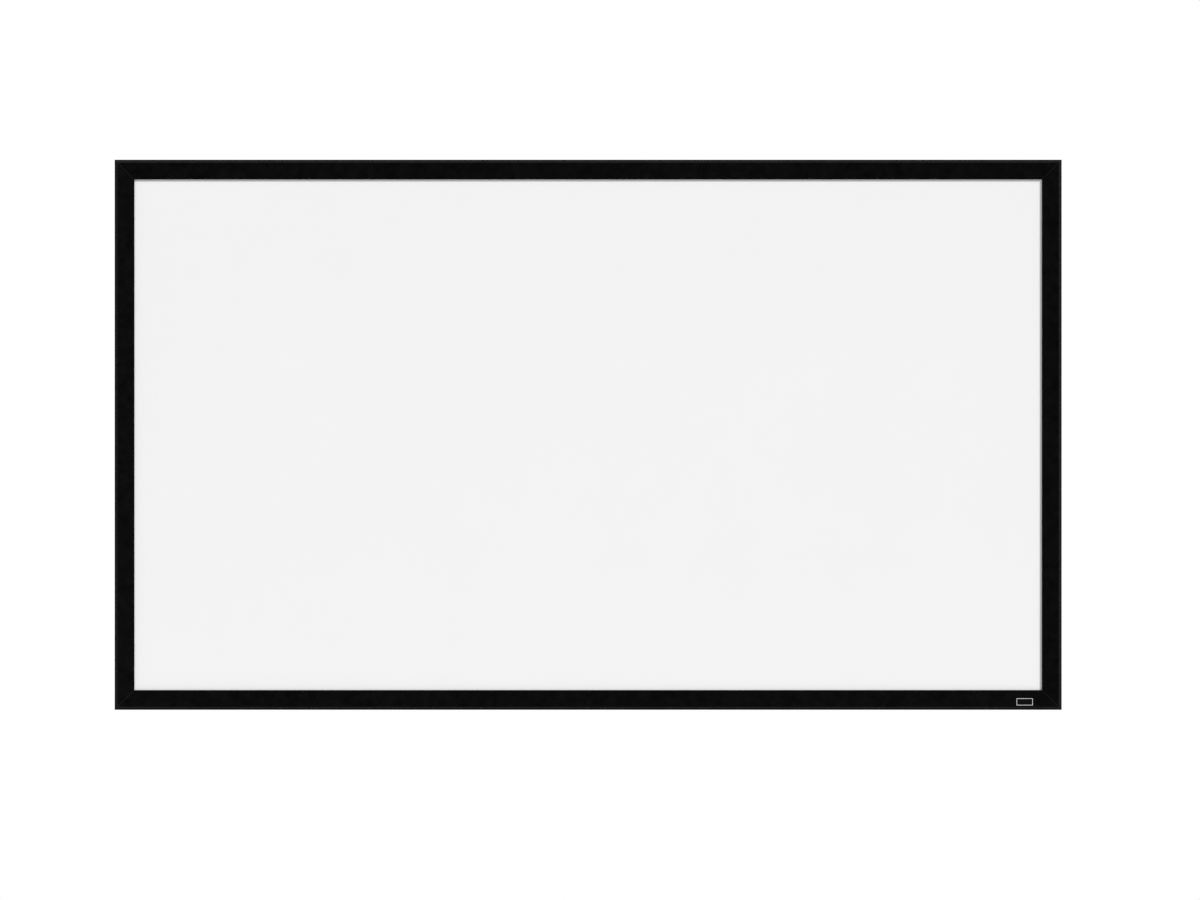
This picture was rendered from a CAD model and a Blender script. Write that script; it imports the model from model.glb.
# Wall-hung fixed frame projection screen: velvet-covered frame, sprung white sheet, wall brackets
import math
import bpy
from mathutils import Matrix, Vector


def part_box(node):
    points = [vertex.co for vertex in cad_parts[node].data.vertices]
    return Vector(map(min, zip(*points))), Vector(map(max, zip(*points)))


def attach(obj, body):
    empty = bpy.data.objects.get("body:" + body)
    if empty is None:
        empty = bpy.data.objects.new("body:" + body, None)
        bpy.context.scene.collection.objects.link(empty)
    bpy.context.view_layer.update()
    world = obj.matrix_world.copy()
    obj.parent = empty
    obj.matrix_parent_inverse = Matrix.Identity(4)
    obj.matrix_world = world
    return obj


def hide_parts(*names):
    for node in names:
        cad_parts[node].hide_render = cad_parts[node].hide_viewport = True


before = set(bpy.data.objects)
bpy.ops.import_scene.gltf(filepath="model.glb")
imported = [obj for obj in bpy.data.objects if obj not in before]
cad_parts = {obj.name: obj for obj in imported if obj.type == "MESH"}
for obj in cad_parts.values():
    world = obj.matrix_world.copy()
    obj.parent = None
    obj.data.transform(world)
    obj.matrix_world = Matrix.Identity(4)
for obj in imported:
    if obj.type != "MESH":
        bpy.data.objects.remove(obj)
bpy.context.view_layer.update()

bpy.context.scene.view_settings.view_transform = "Standard"

# the frame's section, and where it is, read from its own nodes: u runs in from the outer edge, v back
section = {"faceWidth": 0.060, "faceFall": 0.006, "chamferWidth": 0.0075, "depthToWall": 0.039}
halfWidth = -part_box("velvet_left")[0].x
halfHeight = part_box("velvet_top_left")[1].z
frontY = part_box("wall_bracket_upper_left")[1].y - section["depthToWall"]
acrossX, acrossZ = Vector((1, 0, 0)), Vector((0, 0, 1))
sides = {
    "top": {"along": acrossX, "inward": -acrossZ, "edge": halfHeight, "length": 2 * halfWidth},
    "bottom": {"along": acrossX, "inward": acrossZ, "edge": halfHeight, "length": 2 * halfWidth},
    "left": {"along": acrossZ, "inward": acrossX, "edge": halfWidth, "length": 2 * halfHeight},
    "right": {"along": acrossZ, "inward": -acrossX, "edge": halfWidth, "length": 2 * halfHeight},
}
alongX, alongY = (0, math.radians(90), 0), (math.radians(90), 0, 0)
touching = 0.00001


def atSide(name, along, u, v):
    side = sides[name]
    return side["along"] * along + side["inward"] * (u - side["edge"]) + Vector((0, frontY + v, 0))


# small helpers for working on one piece at a time
def pickOnly(*pieces):
    bpy.ops.object.select_all(action="DESELECT")
    for piece in pieces:
        piece.select_set(True)
    bpy.context.view_layer.objects.active = pieces[0]


def named(name):
    piece = bpy.context.view_layer.objects.active
    piece.name = name
    piece.data.name = name
    return piece


def editMode(selected="DESELECT"):
    bpy.ops.object.mode_set(mode="EDIT")
    bpy.ops.mesh.select_mode(type="VERT")
    bpy.ops.mesh.select_all(action=selected)


def objectMode():
    bpy.ops.object.mode_set(mode="OBJECT")


def pickVertices(piece, test):
    editMode()
    objectMode()
    for vertex in piece.data.vertices:
        vertex.select = test(vertex.co)
    bpy.ops.object.mode_set(mode="EDIT")


def pickFaces(piece, test):
    editMode()
    bpy.ops.mesh.select_mode(type="FACE")
    objectMode()
    for face in piece.data.polygons:
        face.select = test(face)
    bpy.ops.object.mode_set(mode="EDIT")


def pickAt(piece, *places):
    pickVertices(piece, lambda co: any((co - place).length < touching for place in places))


# a line of joined points, drawn one after another
def drawLine(name, points):
    bpy.ops.object.select_all(action="DESELECT")
    bpy.ops.mesh.primitive_plane_add(size=0.001, location=points[0])
    line = named(name)
    placeInMesh(line)
    editMode("SELECT")
    bpy.ops.mesh.merge(type="CENTER")
    for before, after in zip(points, points[1:]):
        bpy.ops.mesh.extrude_region_move(TRANSFORM_OT_translate={"value": after - before})
    return line


def roundCorner(piece, before, corner, after, radius, segments=6):
    turn = (corner - before).angle(after - corner)
    pickAt(piece, corner)
    bpy.ops.mesh.bevel(
        offset_type="OFFSET", offset=radius * math.tan(turn / 2), segments=segments, affect="VERTICES"
    )


def roundLine(piece, points, radii, segments):
    for before, corner, after, radius in zip(points, points[1:], points[2:], radii):
        roundCorner(piece, before, corner, after, radius, segments)


# a flat outline, filled and with its corners rounded, pushed out to a plate
def drawPlate(name, points, radii, outward, segments=5):
    plate = drawLine(name, points)
    bpy.ops.mesh.select_all(action="SELECT")
    bpy.ops.mesh.edge_face_add()
    for i, radius in enumerate(radii):
        if radius:
            roundCorner(plate, points[i - 1], points[i], points[(i + 1) % len(points)], radius, segments)
    bpy.ops.mesh.select_all(action="SELECT")
    bpy.ops.mesh.extrude_region_move(TRANSFORM_OT_translate={"value": outward})
    objectMode()
    fixNormals(plate)
    return plate


def pushAlong(direction):
    bpy.ops.mesh.select_all(action="SELECT")
    bpy.ops.mesh.extrude_region_move(TRANSFORM_OT_translate={"value": direction})
    objectMode()


# turns an open sheet's faces so that the ones towards a direction face it
def faceTowards(piece, direction):
    fixNormals(piece)
    furthest = max(piece.data.polygons, key=lambda face: abs(face.normal.dot(direction)) * face.area)
    if furthest.normal.dot(direction) < 0:
        pickOnly(piece)
        editMode("SELECT")
        bpy.ops.mesh.flip_normals()
        objectMode()


def addWall(piece, thickness, offset=-1, even=True):
    wall = piece.modifiers.new("wall", "SOLIDIFY")
    wall.thickness = thickness
    wall.offset = offset
    wall.use_even_offset = even
    applyAll(piece)


def cutAway(piece, cutter):
    cut = piece.modifiers.new("cut", "BOOLEAN")
    cut.operation = "DIFFERENCE"
    cut.solver = "EXACT"
    cut.object = cutter
    applyAll(piece)
    bpy.data.objects.remove(cutter)


def placeInMesh(piece):
    pickOnly(piece)
    bpy.ops.object.transform_apply(location=True, rotation=True, scale=True)


def applyAll(piece):
    pickOnly(piece)
    for modifier in list(piece.modifiers):
        bpy.ops.object.modifier_apply(modifier=modifier.name)


# a round bar, along Z unless it is turned
def addBar(name, radius, length, place=(0, 0, 0), turned=(0, 0, 0), corners=32):
    bpy.ops.object.select_all(action="DESELECT")
    bpy.ops.mesh.primitive_cylinder_add(
        vertices=corners, radius=radius, depth=length, location=place, rotation=turned
    )
    bar = named(name)
    placeInMesh(bar)
    return bar


def copyMesh(mesh, name):
    piece = bpy.data.objects.new(name, mesh.copy())
    bpy.context.scene.collection.objects.link(piece)
    return piece


def roundEdges(piece, width, segments=2, angle=40):
    bevel = piece.modifiers.new("rounded edges", "BEVEL")
    bevel.width = width
    bevel.segments = segments
    bevel.limit_method = "ANGLE"
    bevel.angle_limit = math.radians(angle)
    bevel.use_clamp_overlap = True
    applyAll(piece)


# smooth shading that leaves the large flat faces flat
def smoothFaces(piece, angle=35):
    pickOnly(piece)
    bpy.ops.object.shade_smooth_by_angle(angle=math.radians(angle))
    even = piece.modifiers.new("even shading", "WEIGHTED_NORMAL")
    even.weight = 100
    even.keep_sharp = True
    applyAll(piece)


def fixNormals(piece):
    pickOnly(piece)
    editMode("SELECT")
    bpy.ops.mesh.normals_make_consistent(inside=False)
    objectMode()


def keep(piece, material, slot, *nodes):
    piece.data.materials.clear()
    piece.data.materials.append(material)
    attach(piece, "root")
    if nodes:
        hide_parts(*nodes)
    return piece


# a copy of a node, welded and with its flat faces whole again, ready for rounded edges
def copyOfNode(node, name):
    piece = copyMesh(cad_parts[node].data, name)
    pickOnly(piece)
    editMode("SELECT")
    bpy.ops.mesh.remove_doubles(threshold=touching)
    bpy.ops.mesh.dissolve_limited(angle_limit=math.radians(1))
    objectMode()
    return piece


# camera: straight on, with the frame where it stands in the picture
view = {
    "imageSize": (1200, 900), "frameWidth": 947.8, "frameCentre": (588.16, 434.76),
    "lens": 100, "sensorWidth": 36, "clipEnd": 100,
}


def addCamera():
    imageWidth, imageHeight = view["imageSize"]
    metresPerPixel = 2 * halfWidth / view["frameWidth"]
    distance = metresPerPixel * imageWidth * view["lens"] / view["sensorWidth"]
    right = (imageWidth / 2 - view["frameCentre"][0]) * metresPerPixel
    up = (view["frameCentre"][1] - imageHeight / 2) * metresPerPixel
    bpy.ops.object.camera_add(location=(right, frontY - distance, up), rotation=alongY)
    camera = bpy.context.object
    camera.data.lens = view["lens"]
    camera.data.clip_end = view["clipEnd"]
    bpy.context.scene.camera = camera


# light: a soft key from the upper right, a low fill from below, one from the rear and an even white room
light = {
    "keyFrom": (1.25, -1.0, 1.25), "keyStrength": 3.06, "keySoftness": 9,
    "fillFrom": (-0.5, -1.0, -0.9), "fillStrength": 0.32, "fillSoftness": 40,
    "rearFrom": (0.7, 1.0, 0.9), "rearStrength": 0.8, "rearSoftness": 60,
    "roomStrength": 0.43, "sunDistance": 3,
}
# floor: seen is its tone in the picture and in glosses, bounced its tone for the light that it sends back
floor = {
    "below": 1.1, "halfLength": 4.6, "front": -2.4, "back": 3.3,
    "seen": 0.86, "bounced": 0.66, "roughness": 0.8,
}


def addSun(name, comesFrom, strength, softness):
    bpy.ops.object.light_add(type="SUN", location=Vector(comesFrom) * light["sunDistance"])
    sun = bpy.context.object
    sun.name = name
    sun.data.energy = strength
    sun.data.angle = math.radians(softness)
    sun.rotation_euler = (-Vector(comesFrom)).to_track_quat("-Z", "Y").to_euler()


# 1 where the camera, a gloss or a glass looks, 0 where light only bounces
def addSeenRays(tree):
    rays = tree.nodes.new("ShaderNodeLightPath")
    seen = rays.outputs["Is Camera Ray"]
    for other in ("Is Glossy Ray", "Is Transmission Ray"):
        either = tree.nodes.new("ShaderNodeMath")
        either.operation = "MAXIMUM"
        tree.links.new(seen, either.inputs[0])
        tree.links.new(rays.outputs[other], either.inputs[1])
        seen = either.outputs[0]
    return seen


def addLight():
    for lamp in ("key", "fill", "rear"):
        addSun(f"{lamp}Light", light[f"{lamp}From"], light[f"{lamp}Strength"], light[f"{lamp}Softness"])
    world = bpy.data.worlds.new("room")
    bpy.context.scene.world = world
    world.use_nodes = True
    nodes, links = world.node_tree.nodes, world.node_tree.links
    room = nodes["Background"]
    room.inputs["Color"].default_value = (1, 1, 1, 1)
    room.inputs["Strength"].default_value = light["roomStrength"]
    seen = nodes.new("ShaderNodeBackground")
    seen.inputs["Color"].default_value = (1, 1, 1, 1)
    mix = nodes.new("ShaderNodeMixShader")
    links.new(addSeenRays(world.node_tree), mix.inputs["Fac"])
    links.new(room.outputs[0], mix.inputs[1])
    links.new(seen.outputs[0], mix.inputs[2])
    links.new(mix.outputs[0], nodes["World Output"].inputs["Surface"])


def addFloor():
    bpy.ops.mesh.primitive_plane_add(size=1)
    ground = named("floor")
    ground.scale = (2 * floor["halfLength"], floor["back"] - floor["front"], 1)
    ground.location = (0, (floor["back"] + floor["front"]) / 2, -halfHeight - floor["below"])
    placeInMesh(ground)
    seen, bounced = (floor["seen"],) * 3, (floor["bounced"],) * 3
    material, shader = plainMaterial("paleFloor", seen, floor["roughness"])
    colour = mixColours(material, addSeenRays(material.node_tree), bounced, seen)
    link(material, colour, shader.inputs["Base Color"])
    ground.data.materials.append(material)


# materials
def plainMaterial(name, colour, roughness, metallic=0.0):
    material = bpy.data.materials.new(name)
    material.use_nodes = True
    shader = material.node_tree.nodes["Principled BSDF"]
    shader.inputs["Base Color"].default_value = (*colour, 1)
    shader.inputs["Roughness"].default_value = roughness
    shader.inputs["Metallic"].default_value = metallic
    return material, shader


def addNode(material, kind, **settings):
    node = material.node_tree.nodes.new(kind)
    for key, value in settings.items():
        setattr(node, key, value)
    return node


def link(material, fromSocket, toSocket):
    material.node_tree.links.new(fromSocket, toSocket)


# where a point lies on the piece, in metres, with each axis stretched as the pattern needs
def placeOn(material, scale=(1, 1, 1)):
    coordinates = addNode(material, "ShaderNodeTexCoord")
    mapping = addNode(material, "ShaderNodeMapping")
    mapping.inputs["Scale"].default_value = scale
    link(material, coordinates.outputs["Object"], mapping.inputs["Vector"])
    return mapping.outputs["Vector"]


def addNoise(material, scale, detail=3.0, roughness=0.5, stretch=(1, 1, 1)):
    noise = addNode(material, "ShaderNodeTexNoise")
    noise.inputs["Scale"].default_value = scale
    noise.inputs["Detail"].default_value = detail
    noise.inputs["Roughness"].default_value = roughness
    link(material, placeOn(material, stretch), noise.inputs["Vector"])
    return noise.outputs["Fac"]


def addRange(material, value, fromLow, fromHigh, toLow, toHigh, smooth=False):
    spread = addNode(material, "ShaderNodeMapRange")
    spread.interpolation_type = "SMOOTHSTEP" if smooth else "LINEAR"
    link(material, value, spread.inputs["Value"])
    limits = {"From Min": fromLow, "From Max": fromHigh, "To Min": toLow, "To Max": toHigh}
    for socket, number in limits.items():
        spread.inputs[socket].default_value = number
    return spread.outputs["Result"]


def addMath(material, operation, first, second=None):
    node = addNode(material, "ShaderNodeMath", operation=operation)
    for socket, value in zip(node.inputs, (first, second)):
        if value is None:
            continue
        if isinstance(value, (int, float)):
            socket.default_value = value
        else:
            link(material, value, socket)
    return node.outputs[0]


def mixColours(material, factor, first, second):
    mix = addNode(material, "ShaderNodeMix", data_type="RGBA")
    link(material, factor, mix.inputs["Factor"])
    for socket, colour in ((mix.inputs[6], first), (mix.inputs[7], second)):
        if isinstance(colour, tuple):
            socket.default_value = (*colour, 1)
        else:
            link(material, colour, socket)
    return mix.outputs[2]


def addBump(material, shader, height, distance, strength=1.0, under=None):
    bump = addNode(material, "ShaderNodeBump")
    bump.inputs["Distance"].default_value = distance
    bump.inputs["Strength"].default_value = strength
    link(material, height, bump.inputs["Height"])
    if under:
        link(material, under, bump.inputs["Normal"])
    link(material, bump.outputs["Normal"], shader.inputs["Normal"])
    return bump.outputs["Normal"]


# black velvet: crushed patches, short pile, specks of lint, a worn ridge and cut edges at the mitres
velvetLook = {
    "middle": (0.0022, 0.0022, 0.0023), "deep": (0.0012, 0.0012, 0.0013),
    "crushed": (0.0038, 0.0038, 0.0039), "lint": (0.05, 0.05, 0.052),
    "ridge": (0.02, 0.02, 0.0205), "ridgePlace": 0.0071, "ridgeHalf": 0.0004, "ridgeFade": 0.0040,
    "cutEdge": (0.023, 0.023, 0.0236), "cutEdgeHalf": 0.0004, "cutEdgeFade": 0.0013,
}


def makeVelvet():
    look = velvetLook
    material, shader = plainMaterial("blackVelvet", look["middle"], 0.85)
    shader.inputs["Specular IOR Level"].default_value = 0.02
    shader.inputs["Sheen Weight"].default_value = 0.1
    shader.inputs["Sheen Roughness"].default_value = 0.35
    shader.inputs["Sheen Tint"].default_value = (0.72, 0.72, 0.75, 1)
    patches = addRange(material, addNoise(material, 38, 4, 0.6), 0.3, 0.7, 0, 1)
    colour = mixColours(material, patches, look["deep"], look["crushed"])
    lint = addRange(material, addNoise(material, 420, 1, 0.5), 0.78, 0.86, 0, 0.5)
    colour = mixColours(material, lint, colour, look["lint"])
    place = addNode(material, "ShaderNodeSeparateXYZ")
    link(material, placeOn(material), place.inputs[0])
    fromX = addMath(material, "ABSOLUTE", place.outputs["X"])
    fromZ = addMath(material, "ABSOLUTE", place.outputs["Z"])
    # the ridge, a band along the outer edge
    fromEnd = addMath(material, "SUBTRACT", halfWidth, fromX)
    fromEdge = addMath(material, "MINIMUM", fromEnd, addMath(material, "SUBTRACT", halfHeight, fromZ))
    offRidge = addMath(material, "SUBTRACT", fromEdge, look["ridgePlace"])
    offRidge = addMath(material, "ABSOLUTE", offRidge)
    ridge = addRange(material, offRidge, look["ridgeHalf"], look["ridgeFade"], 1, 0, True)
    worn = addRange(material, addNoise(material, 55, 4, 0.65), 0.3, 0.7, 0.45, 1)
    colour = mixColours(material, addMath(material, "MULTIPLY", ridge, worn), colour, look["ridge"])
    # the mitres, lines at 45 degrees through the corners
    offMitre = addMath(material, "SUBTRACT", fromX, fromZ)
    offMitre = addMath(material, "SUBTRACT", offMitre, halfWidth - halfHeight)
    offMitre = addMath(material, "ABSOLUTE", offMitre)
    cutEdge = addRange(material, offMitre, look["cutEdgeHalf"], look["cutEdgeFade"], 0.75, 0, True)
    frayed = addRange(material, addNoise(material, 260, 2), 0.3, 0.6, 0.3, 1)
    colour = mixColours(material, addMath(material, "MULTIPLY", cutEdge, frayed), colour, look["cutEdge"])
    link(material, colour, shader.inputs["Base Color"])
    crushed = addBump(material, shader, addNoise(material, 60, 2, 0.5), 0.0006, 0.5)
    pile = addNoise(material, 1500, 2, 0.6)
    addBump(material, shader, pile, 0.00022, 0.8, under=crushed)
    return material


# matte white screen cloth: a fine plain weave, very faintly clouded
def makeScreenCloth():
    material, shader = plainMaterial("screenCloth", (0.885, 0.885, 0.885), 0.82)
    shader.inputs["Specular IOR Level"].default_value = 0.25
    cloud = addRange(material, addNoise(material, 3, 2), 0.3, 0.7, 0, 1)
    colour = mixColours(material, cloud, (0.882, 0.882, 0.883), (0.888, 0.888, 0.887))
    link(material, colour, shader.inputs["Base Color"])
    threads = []
    for direction in ("X", "Z"):
        wave = addNode(material, "ShaderNodeTexWave", bands_direction=direction)
        wave.inputs["Scale"].default_value = 450
        wave.inputs["Distortion"].default_value = 0.6
        wave.inputs["Detail"].default_value = 1
        link(material, placeOn(material), wave.inputs["Vector"])
        threads.append(wave.outputs["Fac"])
    weave = addMath(material, "MULTIPLY", threads[0], threads[1])
    addBump(material, shader, weave, 0.00006, 0.6)
    return material


# extruded aluminium: fine die lines along the length, with lengthways the axis it was drawn along
def makeAluminium(name, lengthways):
    colour = (0.44, 0.445, 0.455)
    material, shader = plainMaterial(name, colour, 0.38, 1.0)
    stretch = tuple(0.012 if axis == lengthways else 1 for axis in "XYZ")
    lines = addNoise(material, 900, 3, 0.6, stretch)
    smudges = addNoise(material, 14, 3, 0.6)
    lighter = tuple(channel * 1.15 for channel in colour)
    darker = tuple(channel * 0.88 for channel in colour)
    tone = addRange(material, lines, 0.3, 0.7, 0, 1)
    link(material, mixColours(material, tone, darker, lighter), shader.inputs["Base Color"])
    link(material, addRange(material, smudges, 0.3, 0.75, 0.3, 0.5), shader.inputs["Roughness"])
    addBump(material, shader, lines, 0.00002, 0.6)
    return material


# zinc-plated steel: faintly clouded, with rolling marks
def makeZincSteel(name, colour, roughness):
    material, shader = plainMaterial(name, colour, roughness, 1.0)
    cloud = addRange(material, addNoise(material, 120, 4, 0.65), 0.3, 0.7, 0, 1)
    warmer = (colour[0] * 1.08, colour[1] * 1.07, colour[2] * 1.02)
    darker = tuple(channel * 0.84 for channel in colour)
    link(material, mixColours(material, cloud, darker, warmer), shader.inputs["Base Color"])
    spread = addRange(material, addNoise(material, 420, 2), 0.3, 0.7, roughness * 0.8, roughness * 1.3)
    link(material, spread, shader.inputs["Roughness"])
    addBump(material, shader, addNoise(material, 1600, 2), 0.00002, 0.5)
    return material


# black powder coat: the skin's orange peel
def makePowderCoat():
    material, shader = plainMaterial("blackPowderCoat", (0.02, 0.02, 0.021), 0.42)
    grain = addNoise(material, 700, 2, 0.5)
    link(material, addRange(material, grain, 0.3, 0.7, 0.36, 0.52), shader.inputs["Roughness"])
    addBump(material, shader, grain, 0.00012, 0.5)
    return material


# soft black vinyl: a pressed grain
def makeVinyl():
    material, shader = plainMaterial("blackVinyl", (0.018, 0.018, 0.019), 0.55)
    grain = addNode(material, "ShaderNodeTexVoronoi", feature="DISTANCE_TO_EDGE")
    grain.inputs["Scale"].default_value = 900
    link(material, placeOn(material), grain.inputs["Vector"])
    pressed = addRange(material, grain.outputs["Distance"], 0, 0.25, 0, 1, True)
    addBump(material, shader, pressed, 0.00008, 0.6)
    return material


def makeMouldedPlastic():
    material, shader = plainMaterial("mouldedPlastic", (0.016, 0.016, 0.017), 0.48)
    spark = addNoise(material, 2200, 2, 0.6)
    link(material, addRange(material, spark, 0.3, 0.7, 0.42, 0.6), shader.inputs["Roughness"])
    addBump(material, shader, spark, 0.00005, 0.5)
    return material


def makeBadgeFinish(name, colour, roughness, gloss):
    material, shader = plainMaterial(name, colour, roughness)
    shader.inputs["Specular IOR Level"].default_value = gloss
    wear = addNoise(material, 300, 3, 0.6)
    spread = addRange(material, wear, 0.3, 0.75, roughness * 0.8, roughness * 1.5)
    link(material, spread, shader.inputs["Roughness"])
    addBump(material, shader, addNoise(material, 900, 1), 0.00001, 0.4)
    return material


print("stage: camera, light and floor")
addCamera()
addLight()
addFloor()

print("stage: materials")
velvet = makeVelvet()
screenCloth = makeScreenCloth()
aluminiumX = makeAluminium("aluminiumAlongX", "X")
aluminiumZ = makeAluminium("aluminiumAlongZ", "Z")
zincSteel = makeZincSteel("zincPlatedSteel", (0.36, 0.37, 0.39), 0.36)
springSteel = makeZincSteel("springSteel", (0.50, 0.51, 0.53), 0.22)
blackScrew = makeZincSteel("blackOxideSteel", (0.10, 0.10, 0.105), 0.34)
powderCoat = makePowderCoat()
vinyl = makeVinyl()
mouldedPlastic = makeMouldedPlastic()
badgeBlack = makeBadgeFinish("badgeBlack", (0.0022, 0.0022, 0.0024), 0.2, 0.05)
badgeWhite = makeBadgeFinish("badgeWhite", (0.84, 0.84, 0.83), 0.4, 0.3)

# rails keep the node's section, drawn on at the ends so that the joints close
rail = {"edge": 0.00025, "closing": 0.0001, "jointReach": 0.0002}


# the side that a length lies on, and where along it the length starts and ends
def railEnds(length):
    side = length.split("_")[0]
    half = sides[side]["length"] / 2
    low, high = (corner.dot(sides[side]["along"]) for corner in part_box(f"velvet_{length}"))
    return side, (-half if low < -0.01 else 0, half if high > 0.01 else 0)


# how far a point on a side is from the joint at one of its ends
def toJoint(side, joint, co):
    along = sides[side]["along"].dot(co) - joint
    if joint == 0:
        return abs(along)
    inwards = sides[side]["inward"].dot(co) + sides[side]["edge"]
    return abs(abs(along) - inwards) / math.sqrt(2)


def makeRail(length):
    piece = copyOfNode(f"rail_{length}", f"railProfile_{length}")
    side, ends = railEnds(length)
    for joint in ends:
        outwards = 1 if joint == max(ends) else -1
        pickVertices(piece, lambda co: toJoint(side, joint, co) < rail["jointReach"])
        bpy.ops.transform.translate(value=sides[side]["along"] * outwards * rail["closing"])
        objectMode()
    roundEdges(piece, rail["edge"])
    smoothFaces(piece)
    return piece


# velvet: one strip of cloth wrapped round the rail from its nose to its back, cut at the joints.
# Its line and radii are in millimetres, as u and v
wrap = {
    "corners": [(6, 36), (0, 36), (0, 8), (7.5, 0), (60, 6), (60, 12), (55.5, 12)],
    "radii": [1.6, 3, 5, 2.6, 1.4],
    "segments": 7, "thickness": 0.0008, "cutEdge": 0.00022,
}


def makeWrap(length):
    side, ends = railEnds(length)
    along, inward = sides[side]["along"], sides[side]["inward"]
    points = [atSide(side, ends[0], u / 1000, v / 1000) for u, v in wrap["corners"]]
    piece = drawLine(f"velvetWrap_{length}", points)
    roundLine(piece, points, [radius / 1000 for radius in wrap["radii"]], wrap["segments"])
    pushAlong(along * (ends[1] - ends[0]))
    faceTowards(piece, Vector((0, -1, 0)))
    addWall(piece, wrap["thickness"])
    editMode()
    for joint in ends:
        outwards = 1 if joint == max(ends) else -1
        through = atSide(side, joint, 0, 0)
        facing = along * outwards + (inward if joint else Vector())
        bpy.ops.mesh.select_all(action="SELECT")
        bpy.ops.mesh.bisect(plane_co=through, plane_no=facing.normalized(), clear_outer=True)
        bpy.ops.mesh.edge_face_add()
    objectMode()
    fixNormals(piece)
    roundEdges(piece, wrap["cutEdge"])
    smoothFaces(piece, 40)
    return piece


print("stage: rails and velvet")
for length in ("top_left", "top_right", "bottom_left", "bottom_right", "left", "right"):
    drawn = aluminiumZ if length in ("left", "right") else aluminiumX
    keep(makeRail(length), drawn, "aluminium", f"rail_{length}")
    keep(makeWrap(length), velvet, "velvet", f"velvet_{length}")

# plates in the back channels: flat bar, drilled for the grub screws
plates = {
    "near": 0.00305, "far": 0.0217, "front": 0.02935, "thickness": 0.0035, "leg": 0.110,
    "spliceHalf": 0.100, "corner": 0.003, "hole": 0.00265, "drillLength": 0.02, "edge": 0.0003,
}
cornerSigns = {"top_left": (-1, 1), "top_right": (1, 1), "bottom_left": (-1, -1), "bottom_right": (1, -1)}


def atCorner(name, fromSide, fromEnd, v):
    x, z = cornerSigns[name]
    return Vector((x * (halfWidth - fromSide), frontY + v, z * (halfHeight - fromEnd)))


def drillFor(nodes):
    drills = []
    for node in nodes:
        low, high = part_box(node)
        drills.append(addBar("drill", plates["hole"], plates["drillLength"], (low + high) / 2, alongY))
    pickOnly(*drills)
    bpy.ops.object.join()
    return named("drill")


def finishPlate(plate, node, screwPrefix):
    cutAway(plate, drillFor([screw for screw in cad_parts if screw.startswith(screwPrefix)]))
    roundEdges(plate, plates["edge"])
    smoothFaces(plate)
    return keep(plate, zincSteel, "zinc_steel", node)


def makeElbow(name):
    near, far, leg, radius = plates["near"], plates["far"], plates["leg"], plates["corner"]
    outline = [(near, near), (leg, near), (leg, far), (far, far), (far, leg), (near, leg)]
    points = [atCorner(name, fromSide, fromEnd, plates["front"]) for fromSide, fromEnd in outline]
    radii = [radius, radius, radius, 0, radius, radius]
    thickness = Vector((0, plates["thickness"], 0))
    plate = drawPlate(f"elbowPlate_{name}", points, radii, thickness)
    return finishPlate(plate, f"elbow_{name}", f"elbow_screw_{name}")


def makeSplice(name):
    half, near, far = plates["spliceHalf"], plates["near"], plates["far"]
    outline = [(-half, near), (half, near), (half, far), (-half, far)]
    points = [atSide(name, along, u, plates["front"]) for along, u in outline]
    thickness = Vector((0, plates["thickness"], 0))
    plate = drawPlate(f"splicePlate_{name}", points, [plates["corner"]] * 4, thickness)
    return finishPlate(plate, f"splice_plate_{name}", f"splice_screw_{name}")


print("stage: plates in the back channels")
for corner in cornerSigns:
    makeElbow(corner)
for level in ("top", "bottom"):
    makeSplice(level)

# grub screws: one is made, with its point, chamfer and hexagon socket, and copied to each place
grubScrew = {
    "radius": 0.0025, "pointLength": 0.001, "pointShare": 0.6, "chamfer": 0.0003,
    "socketRadius": 0.00145, "socketDepth": 0.0025,
}


def makeGrubScrew(length):
    point, share = grubScrew["pointLength"], grubScrew["pointShare"]
    screw = addBar("grubScrew", grubScrew["radius"], length - point, (0, 0, point / 2))
    pickVertices(screw, lambda co: co.z < 0)
    bpy.ops.mesh.extrude_region_move(TRANSFORM_OT_translate={"value": (0, 0, -point)})
    bpy.ops.transform.resize(value=(share, share, 1))
    objectMode()
    roundEdges(screw, grubScrew["chamfer"], 1, 60)
    socketDepth = grubScrew["socketDepth"]
    key = addBar("hexagonKey", grubScrew["socketRadius"], 2 * socketDepth, (0, 0, length / 2), corners=6)
    cutAway(screw, key)
    screw.rotation_euler = (math.radians(-90), 0, 0)
    placeInMesh(screw)
    smoothFaces(screw)
    return screw


print("stage: grub screws")
screwNodes = sorted(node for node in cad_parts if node.startswith(("elbow_screw_", "splice_screw_")))
firstLow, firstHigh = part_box(screwNodes[0])
pattern = makeGrubScrew(firstHigh.y - firstLow.y)
for node in screwNodes:
    low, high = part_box(node)
    screw = copyMesh(pattern.data, f"grub_{node}")
    screw.location = (low + high) / 2
    placeInMesh(screw)
    keep(screw, blackScrew, "zinc_steel", node)
bpy.data.objects.remove(pattern)

# screen sheet: flat and tight, its corners clipped clear of the elbows
sheet = {"inset": 0.046, "front": 0.01215, "thickness": 0.0005, "corner": 0.012, "cells": (56, 32)}


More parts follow.
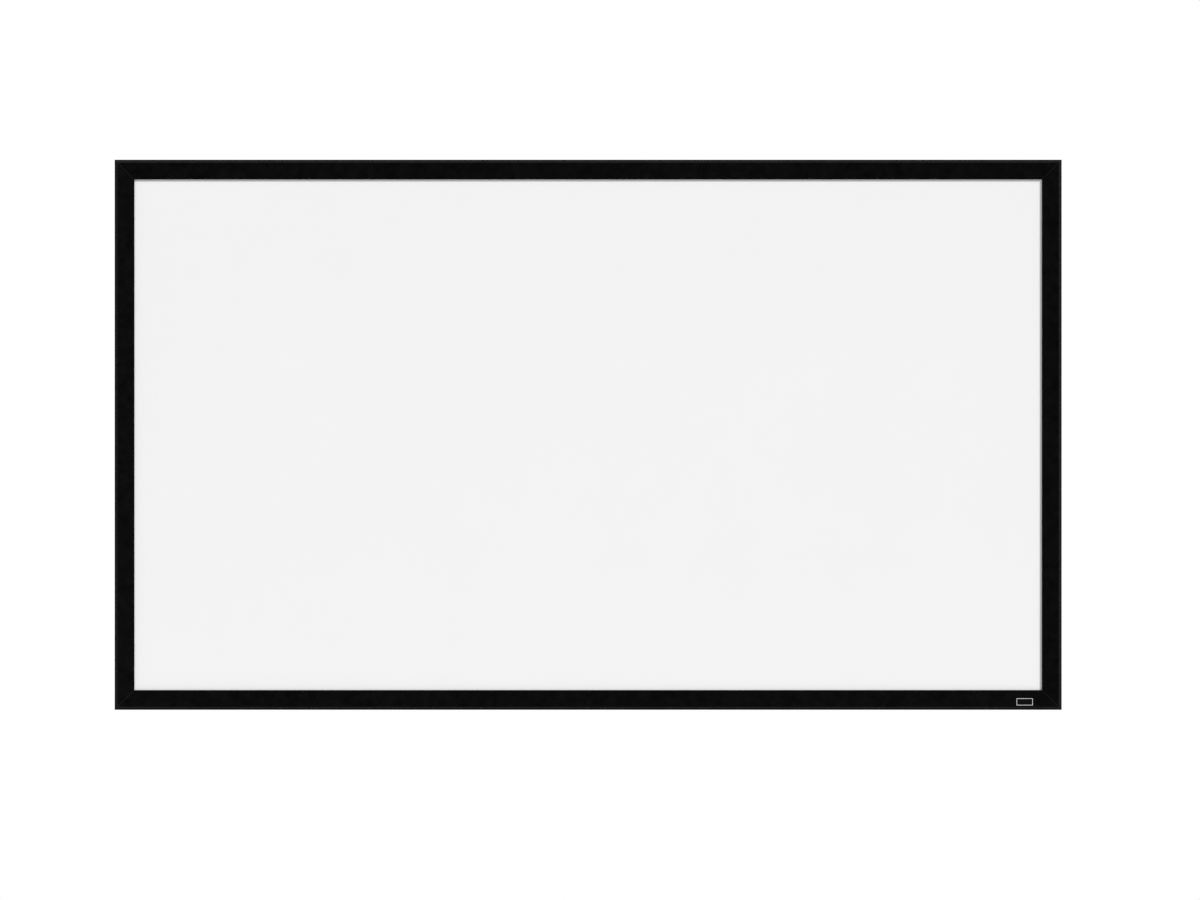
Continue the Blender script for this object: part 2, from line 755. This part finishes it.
def makeSheet():
    halfX, halfZ = halfWidth - sheet["inset"], halfHeight - sheet["inset"]
    middle = frontY + sheet["front"] + sheet["thickness"] / 2
    across, down = sheet["cells"]
    bpy.ops.object.select_all(action="DESELECT")
    bpy.ops.mesh.primitive_grid_add(
        x_subdivisions=across, y_subdivisions=down, size=1, location=(0, middle, 0), rotation=alongY
    )
    cloth = named("screenSheet")
    cloth.scale = (2 * halfX, 2 * halfZ, 1)
    placeInMesh(cloth)
    editMode()
    for x in (-1, 1):
        for z in (-1, 1):
            clipAt = (x * halfX, middle, z * (halfZ - sheet["corner"]))
            bpy.ops.mesh.select_all(action="SELECT")
            bpy.ops.mesh.bisect(plane_co=clipAt, plane_no=(x, 0, z), clear_outer=True)
    objectMode()
    addWall(cloth, sheet["thickness"], 0, even=False)
    fixNormals(cloth)
    smoothFaces(cloth)
    return cloth


# sleeves: a strip welded to the back of the sheet, rolled round the rod and notched at each spring
rod = {"radius": 0.0025, "inset": 0.048, "v": 0.016, "standOut": 0.006, "edge": 0.0006}
sleeve = {"radius": 0.00295, "thickness": 0.0005, "flange": 0.010, "v": 0.01305, "turn": 335, "steps": 20}
springRow = {"pitch": 0.195, "notch": 0.014, "notchInto": 0.0037}


def sleeveHalf(name):
    low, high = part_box(f"sleeve_{name}")
    return sides[name]["along"].dot(high)


def springPlaces(name):
    run = 2 * sleeveHalf(name)
    count = 2 * round(run / springRow["pitch"] / 2)
    return [(i - (count - 1) / 2) * run / count for i in range(count)]


def makeSleeve(name):
    side = sides[name]
    half = sleeveHalf(name)
    bpy.ops.object.select_all(action="DESELECT")
    bpy.ops.mesh.primitive_plane_add(size=2, rotation=alongY)
    strip = named(f"sheetSleeve_{name}")
    lengthways = side["along"].x > 0
    strip.scale = (half, sleeve["flange"] / 2, 1) if lengthways else (sleeve["flange"] / 2, half, 1)
    strip.location = atSide(name, 0, rod["inset"] + sleeve["flange"] / 2, sleeve["v"])
    placeInMesh(strip)
    seam = atSide(name, 0, rod["inset"], 0).dot(side["inward"])
    pickVertices(strip, lambda co: abs(co.dot(side["inward"]) - seam) < touching)
    centre = atSide(name, 0, rod["inset"], sleeve["v"] + sleeve["radius"])
    turning = side["inward"].cross(Vector((0, 1, 0)))
    bpy.ops.mesh.spin(
        steps=sleeve["steps"], angle=math.radians(sleeve["turn"]), center=centre, axis=turning, dupli=False
    )
    for place in springPlaces(name):
        for end in (-1, 1):
            cutAt = side["along"] * (place + end * springRow["notch"] / 2)
            bpy.ops.mesh.select_all(action="SELECT")
            bpy.ops.mesh.bisect(plane_co=cutAt, plane_no=side["along"])
    cutTo = atSide(name, 0, rod["inset"] + springRow["notchInto"], 0)
    bpy.ops.mesh.select_all(action="SELECT")
    bpy.ops.mesh.bisect(plane_co=cutTo, plane_no=side["inward"])

    def inNotch(face):
        along = face.center.dot(side["along"])
        beside = any(abs(along - place) < springRow["notch"] / 2 for place in springPlaces(name))
        return beside and face.center.dot(side["inward"]) < cutTo.dot(side["inward"])

    pickFaces(strip, inNotch)
    bpy.ops.mesh.delete(type="FACE")
    objectMode()
    fixNormals(strip)
    addWall(strip, sleeve["thickness"], 0, even=False)
    fixNormals(strip)
    smoothFaces(strip)
    return keep(strip, vinyl, "vinyl", f"sleeve_{name}")


print("stage: sheet and sleeves")
screenSheet = keep(makeSheet(), screenCloth, "screen", "screen_sheet")
sheetSleeves = [makeSleeve(name) for name in sides]

# rods, and springs of one wire each: a hook over the frame's ledge, close coils, a hook round the rod
spring = {
    "wire": 0.0005, "coilRadius": 0.0023, "bodyLength": 0.0100, "lift": 0.0008, "neck": 0.0012,
    "turns": 9, "stepsPerTurn": 12, "growSteps": 4,
    "tipU": 0.0278, "tipV": 0.0175, "clearance": 0.0003,
    "hookRadius": 0.0022, "hookDrop": 0.0018, "hookTurn": 0.75, "hookSteps": 8,
    "rodClearance": 0.0001, "rodTurnFrom": 0.88, "rodTurn": 1.02, "rodSteps": 10,
}


# the wire's middle line as (along, u, v); the turns of both hooks are shares of half a circle
def springRoute():
    hookRadius, steps = spring["hookRadius"], spring["turns"] * spring["stepsPerTurn"]
    tipU = spring["tipU"] - spring["clearance"] - spring["wire"] + hookRadius
    tipV = spring["tipV"] + spring["clearance"]
    axis = rod["v"] + spring["lift"]
    rodHook = rod["radius"] + spring["wire"] + spring["rodClearance"]
    route = [(0, tipU - hookRadius, tipV - spring["hookDrop"])]
    for i in range(spring["hookSteps"] + 1):
        turn = math.pi * (1 - spring["hookTurn"] * i / spring["hookSteps"])
        route.append((0, tipU + hookRadius * math.cos(turn), tipV + hookRadius * math.sin(turn)))
    middle = (tipU + hookRadius + rod["inset"] - rodHook) / 2
    start = middle - spring["bodyLength"] / 2
    route.append((0, start - spring["neck"], axis))
    for i in range(steps + 1):
        turn = 2 * math.pi * i / spring["stepsPerTurn"]
        grown = min(1, i / spring["growSteps"], (steps - i) / spring["growSteps"])
        radius = spring["coilRadius"] * grown
        u = start + spring["bodyLength"] * i / steps
        route.append((radius * math.sin(turn), u, axis + radius * math.cos(turn)))
    for i in range(spring["rodSteps"] + 1):
        turn = math.pi * (spring["rodTurnFrom"] - spring["rodTurn"] * i / spring["rodSteps"])
        route.append((0, rod["inset"] + rodHook * math.cos(turn), rod["v"] + rodHook * math.sin(turn)))
    return route


def makeSpring(name):
    curve = bpy.data.curves.new(f"spring_{name}", "CURVE")
    curve.dimensions = "3D"
    curve.bevel_depth = spring["wire"]
    curve.bevel_resolution = 1
    curve.use_fill_caps = True
    route = springRoute()
    wire = curve.splines.new("POLY")
    wire.points.add(len(route) - 1)
    for point, (along, u, v) in zip(wire.points, route):
        point.co = (*atSide(name, along, u, v), 1)
    piece = bpy.data.objects.new(f"spring_{name}", curve)
    bpy.context.scene.collection.objects.link(piece)
    pickOnly(piece)
    bpy.ops.object.convert(target="MESH")
    editMode("SELECT")
    bpy.ops.mesh.remove_doubles(threshold=touching)
    objectMode()
    return bpy.context.view_layer.objects.active


def makeSprings(name):
    first = makeSpring(name)
    copies = []
    for place in springPlaces(name):
        copy = copyMesh(first.data, f"spring_{name}_copy")
        copy.location = sides[name]["along"] * place
        placeInMesh(copy)
        copies.append(copy)
    bpy.data.objects.remove(first)
    pickOnly(*copies)
    bpy.ops.object.join()
    row = named(f"springs_{name}")
    smoothFaces(row, 60)
    keep(row, springSteel, "spring_steel")


def makeRod(name):
    length = 2 * (sleeveHalf(name) + rod["standOut"])
    turned = alongX if sides[name]["along"].x > 0 else (0, 0, 0)
    middle = atSide(name, 0, rod["inset"], rod["v"])
    bar = addBar(f"tensionRod_{name}", rod["radius"], length, middle, turned)
    roundEdges(bar, rod["edge"], 3, 60)
    smoothFaces(bar)
    keep(bar, zincSteel, "spring_steel", f"tension_rod_{name}")


print("stage: rods and springs")
for name in sides:
    makeRod(name)
    makeSprings(name)

# support bar: a flat tube behind the sheet, with a moulded foot plugged into each end
support = {
    "halfWidth": 0.020, "front": 0.020, "back": 0.034, "wall": 0.0016, "corner": 0.003,
    "fromEdge": 0.0281, "edge": 0.0003,
}
foot = {
    "halfWidth": 0.028, "far": 0.0275, "near": 0.0241, "front": 0.0143, "corner": 0.002,
    "plug": 0.030, "gap": 0.0019, "wall": 0.0018, "border": 0.002, "edge": 0.0005,
}


def makeSupport():
    halfX, front, back = support["halfWidth"], support["front"], support["back"]
    end = halfHeight - support["fromEdge"]
    corners = [(-halfX, front), (halfX, front), (halfX, back), (-halfX, back)]
    points = [Vector((x, frontY + v, -end)) for x, v in corners]
    tube = drawLine("supportTube", points)
    bpy.ops.mesh.select_all(action="SELECT")
    bpy.ops.mesh.edge_face_add()
    for i in range(4):
        roundCorner(tube, points[i - 1], points[i], points[(i + 1) % 4], support["corner"])
    bpy.ops.mesh.select_all(action="SELECT")
    bpy.ops.mesh.delete(type="ONLY_FACE")
    pushAlong(Vector((0, 0, 2 * end)))
    fixNormals(tube)
    addWall(tube, support["wall"])
    roundEdges(tube, support["edge"], 2, 60)
    smoothFaces(tube)
    keep(tube, aluminiumZ, "aluminium", "support_bar")


def makeFoot(level):
    inward = sides[level]["inward"]
    corners = [
        (-foot["halfWidth"], foot["front"]), (foot["halfWidth"], foot["front"]),
        (foot["halfWidth"], support["back"]), (-foot["halfWidth"], support["back"]),
    ]
    points = [atSide(level, x, foot["near"], v) for x, v in corners]
    thickness = inward * (foot["far"] - foot["near"])
    piece = drawPlate(f"supportFoot_{level}", points, [foot["corner"]] * 4, thickness, 4)
    # the plug: the flange's inner face drawn in to the tube's size, pushed into it and hollowed
    inner = atSide(level, 0, foot["far"], 0).dot(inward)
    tubeHalf, footHalf = (support["back"] - support["front"]) / 2, (support["back"] - foot["front"]) / 2
    pickFaces(piece, lambda face: abs(face.center.dot(inward) - inner) < touching)
    bpy.ops.mesh.inset(thickness=foot["border"])
    plugX, plugV = support["halfWidth"] - foot["gap"], tubeHalf - foot["gap"]
    nowX, nowV = foot["halfWidth"] - foot["border"], footHalf - foot["border"]
    bpy.ops.transform.resize(value=(plugX / nowX, plugV / nowV, 1))
    bpy.ops.transform.translate(value=(0, (support["front"] - foot["front"]) / 2, 0))
    bpy.ops.mesh.extrude_region_move(TRANSFORM_OT_translate={"value": inward * foot["plug"]})
    bpy.ops.mesh.extrude_region_move(TRANSFORM_OT_translate={"value": (0, 0, 0)})
    bpy.ops.transform.resize(value=(1 - foot["wall"] / plugX, 1 - foot["wall"] / plugV, 1))
    bpy.ops.mesh.extrude_region_move(TRANSFORM_OT_translate={"value": inward * -foot["plug"]})
    objectMode()
    fixNormals(piece)
    roundEdges(piece, foot["edge"], 3)
    smoothFaces(piece, 45)
    keep(piece, mouldedPlastic, "plastic", f"bar_foot_{level}")


print("stage: support bar and its feet")
makeSupport()
for level in ("top", "bottom"):
    makeFoot(level)

# wall brackets: a strip folded twice, its lip hooked behind one lip of the back channel
bracket = {
    "upper": {"side": "top", "lip": 0.0035, "step": 0.0094, "end": 0.0482, "slots": 0.0314},
    "lower": {"side": "bottom", "lip": 0.0215, "step": 0.0156, "end": 0.0544, "slots": 0.0376},
    "place": 0.700, "length": 0.120, "thickness": 0.0024, "lipV": 0.03155, "plateV": 0.0378,
    "bend": 0.0018, "corner": 0.004, "segments": 6, "edge": 0.0003,
    "slotLength": 0.014, "slotWidth": 0.006, "slotPlace": 0.038, "cutterV": 0.039, "cutterLength": 0.02,
}


def slotCutter(side, along, u):
    half = (bracket["slotLength"] - bracket["slotWidth"]) / 2
    middle = atSide(side, along, u, bracket["cutterV"])
    cutter = addBar("slotCutter", bracket["slotWidth"] / 2, bracket["cutterLength"], middle, alongY)
    for way in (1, -1):
        pickVertices(cutter, lambda co: (co.x - along) * way > 0.0001)
        bpy.ops.transform.translate(value=(way * half, 0, 0))
    objectMode()
    return cutter


def makeBracket(level, end):
    form = bracket[level]
    side = form["side"]
    middle = bracket["place"] if end == "right" else -bracket["place"]
    start = middle - bracket["length"] / 2
    lipV, plateV = bracket["lipV"], bracket["plateV"]
    line = [(form["lip"], lipV), (form["step"], lipV), (form["step"], plateV), (form["end"], plateV)]
    points = [atSide(side, start, u, v) for u, v in line]
    piece = drawLine(f"wallBracket_{level}_{end}", points)
    roundLine(piece, points, [bracket["bend"], bracket["bend"]], bracket["segments"])
    across = Vector((bracket["length"], 0, 0))
    pushAlong(across)
    fold, tip = points[2], points[3]
    roundCorner(piece, fold, tip, tip + across, bracket["corner"], bracket["segments"])
    roundCorner(piece, fold + across, tip + across, tip, bracket["corner"], bracket["segments"])
    objectMode()
    faceTowards(piece, Vector((0, 1, 0)))
    addWall(piece, bracket["thickness"], 0)
    for place in (-bracket["slotPlace"], bracket["slotPlace"]):
        cutAway(piece, slotCutter(side, middle + place, form["slots"]))
    roundEdges(piece, bracket["edge"])
    smoothFaces(piece)
    keep(piece, powderCoat, "black_steel", f"wall_bracket_{level}_{end}")


print("stage: wall brackets")
for level in ("upper", "lower"):
    for end in ("left", "right"):
        makeBracket(level, end)

# badge: a blank black plate with a thin white rim, lying on the sloping face of the lower rail
badge = {
    "width": 0.049, "height": 0.021, "thickness": 0.001, "edge": 0.0001,
    "rim": 0.0011, "rimHeight": 0.00012, "rimEdge": 0.00005,
    "fromEnd": 0.1137, "fromEdge": 0.0247, "glueLine": 0.00015,
}


# a plate of the badge's outline, raised above the velvet, and the way it faces
def badgeLayer(name, raised, thickness):
    run = section["faceWidth"] - section["chamferWidth"]
    slope = math.atan2(section["faceFall"], run)
    up = Vector((0, math.sin(slope), math.cos(slope)))
    outward = Vector((0, -math.cos(slope), math.sin(slope)))
    u = badge["fromEdge"]
    v = (u - section["chamferWidth"]) * math.tan(slope)
    middle = atSide("bottom", halfWidth - badge["fromEnd"], u, v) + outward * (badge["glueLine"] + raised)
    acrossHalf, upHalf = acrossX * badge["width"] / 2, up * badge["height"] / 2
    points = [middle + acrossHalf * x + upHalf * z for x, z in ((-1, -1), (1, -1), (1, 1), (-1, 1))]
    return drawPlate(name, points, [0] * 4, outward * thickness), outward


def makeBadge():
    bodyThickness = badge["thickness"] - badge["rimHeight"]
    body, outward = badgeLayer("badgePlate", 0, bodyThickness)
    roundEdges(body, badge["edge"])
    smoothFaces(body)
    keep(body, badgeBlack, "badge", "badge_plate")
    rim, outward = badgeLayer("badgeRim", bodyThickness, badge["rimHeight"])
    # the rim: both faces drawn in, and the middle pushed out of it
    pickFaces(rim, lambda face: abs(face.normal.dot(outward)) > 0.9)
    bpy.ops.mesh.inset(thickness=badge["rim"])
    bpy.ops.mesh.bridge_edge_loops()
    objectMode()
    fixNormals(rim)
    roundEdges(rim, badge["rimEdge"], 1)
    smoothFaces(rim)
    keep(rim, badgeWhite, "badge")


print("stage: badge")
makeBadge()

print("stage: done")
